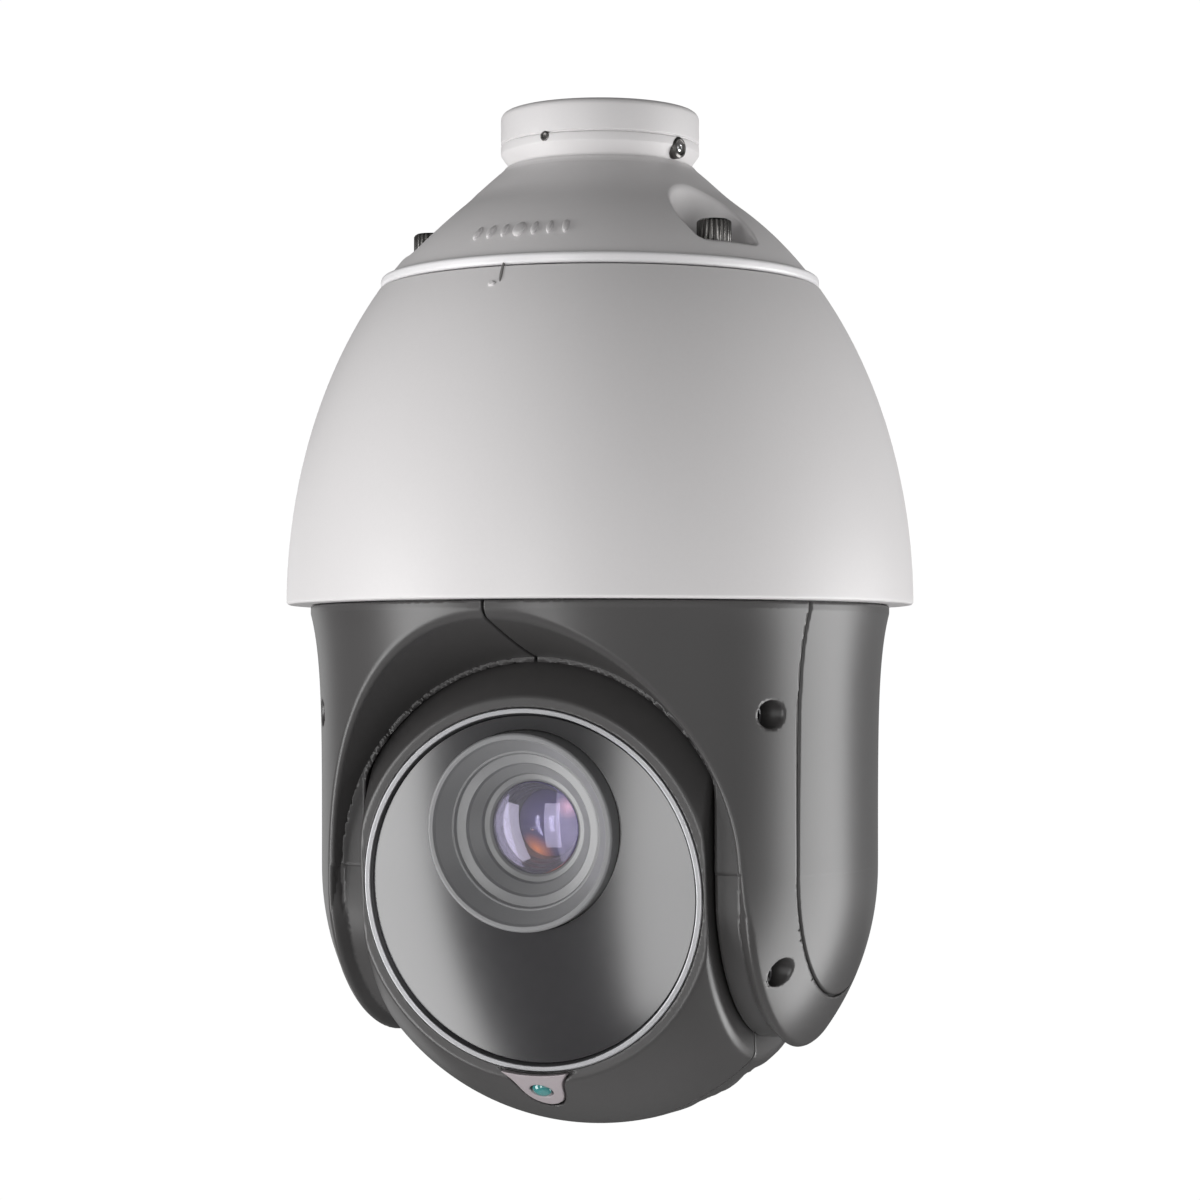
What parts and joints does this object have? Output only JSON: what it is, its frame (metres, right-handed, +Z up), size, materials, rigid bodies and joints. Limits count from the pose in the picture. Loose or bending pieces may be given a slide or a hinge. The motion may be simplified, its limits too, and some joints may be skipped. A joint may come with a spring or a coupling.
{
  "type": "ptz camera",
  "caption": "Speed-dome camera that hangs from a pipe thread: a white brimmed housing, a charcoal two-arm yoke that pans and a round infrared camera head that tilts between the arms.",
  "frame": {"origin": "centre of the pipe-thread mouth on the collar's top face", "axes": "+Z up out of the thread's mouth; the lens looks towards -Y; the tilt axis lies along X"},
  "size_m": [0.172, 0.172, 0.2774],
  "materials": {
    "cap_paint": "satin powder coat",
    "shell_paint": "satin powder coat",
    "trim_metal": "satin",
    "yoke_paint": "satin moulded",
    "ball_paint": "satin moulded",
    "rim_metal": "polished edge",
    "window_glass": "dark tint",
    "hood_black": "satin",
    "lens_glass": "coated",
    "tab_plastic": "satin moulded",
    "sensor_lens": "domed",
    "screw_steel": "plated",
    "race_steel": "ground",
    "cast_aluminium": "as cast",
    "board_green": "lacquered",
    "part_black": "moulded",
    "seal_rubber": "matt",
    "belt_rubber": "matt",
    "pulley_plastic": "moulded",
    "pinion_brass": "machined",
    "reflector_chrome": "mirror",
    "filter_glass": "coated"
  },
  "bodies": {
    "housing": {"mount_cap": "cap_paint", "collar_lock_screw": "screw_steel", "collar_set_screw": "screw_steel", "cable_grommet": "seal_rubber", "cap_screws": "screw_steel", "cap_gasket": "seal_rubber", "trim_ring": "trim_metal", "upper_shell": "shell_paint", "pan_seal": "seal_rubber", "chassis_plate": "cast_aluminium", "chassis_screws": "screw_steel", "board_standoffs": "screw_steel", "power_board": "board_green", "power_board_parts": "part_black", "pan_carrier": "cast_aluminium", "pan_bearing_outer": "race_steel", "slip_ring_stator": "part_black", "pan_motor": "part_black", "pan_belt": "belt_rubber"},
    "pan_motor_pinion": {"pan_pinion": "pinion_brass"},
    "yoke": {"turntable": "cast_aluminium", "pan_bearing_inner": "race_steel", "pan_bearing_balls": "race_steel", "pan_pulley": "pulley_plastic", "slip_ring_rotor": "part_black", "turntable_screws": "screw_steel", "yoke_left": "yoke_paint", "yoke_right": "yoke_paint", "side_cover_left": "yoke_paint", "side_cover_right": "yoke_paint", "arm_screws": "screw_steel", "tilt_bearing_outers": "race_steel", "tilt_bearing_balls": "race_steel", "tilt_motor": "part_black", "tilt_belt": "belt_rubber", "driver_board": "board_green"},
    "tilt_motor_pinion": {"tilt_pinion": "pinion_brass"},
    "zoom_cell": {"zoom_group": "part_black"},
    "focus_cell": {"focus_group": "part_black"},
    "filter_slide": {"infrared_filter": "filter_glass"},
    "head": {"ball_front": "ball_paint", "ball_rear": "ball_paint", "ball_seal": "seal_rubber", "ball_screws": "screw_steel", "tilt_shafts": "cast_aluminium", "tilt_bearing_inners": "race_steel", "tilt_pulley": "pulley_plastic", "window_rim": "rim_metal", "front_window": "window_glass", "lens_hood": "hood_black", "lens_ring": "hood_black", "front_element": "lens_glass", "lens_barrel": "part_black", "lens_bracket": "cast_aluminium", "lens_motors": "part_black", "image_sensor": "board_green", "infrared_board": "board_green", "infrared_leds": "reflector_chrome", "sensor_tab": "tab_plastic", "light_sensor": "sensor_lens"}
  },
  "joints": [
    {"name": "pan", "type": "hinge", "parent": "housing", "child": "yoke", "pos_m": [0, 0, -0.136], "axis": [0, 0, 1], "continuous": true},
    {"name": "tilt", "type": "hinge", "parent": "yoke", "child": "head", "pos_m": [0, 0, -0.207], "axis": [1, 0, 0], "range_deg": [-20, 85]},
    {"name": "pan_motor_turn", "type": "hinge", "parent": "housing", "child": "pan_motor_pinion", "pos_m": [0.027, 0.04677, -0.12], "axis": [0, 0, 1], "continuous": true},
    {"name": "tilt_motor_turn", "type": "hinge", "parent": "yoke", "child": "tilt_motor_pinion", "pos_m": [-0.065, 0, -0.165], "axis": [1, 0, 0], "range_deg": [-62, 257]},
    {"name": "zoom_slide", "type": "slide", "parent": "head", "child": "zoom_cell", "axis": [0, 0.9962, 0.0872], "range_m": [0, 0.014]},
    {"name": "focus_slide", "type": "slide", "parent": "head", "child": "focus_cell", "axis": [0, 0.9962, 0.0872], "range_m": [0, 0.008]},
    {"name": "filter_slide_joint", "type": "slide", "parent": "head", "child": "filter_slide", "axis": [1, 0, 0], "range_m": [0, 0.012]}
  ],
  "couplings": [
    {"joint": "pan_motor_turn", "follows": "pan", "ratio": 5},
    {"joint": "tilt_motor_turn", "follows": "tilt", "ratio": 3}
  ]
}
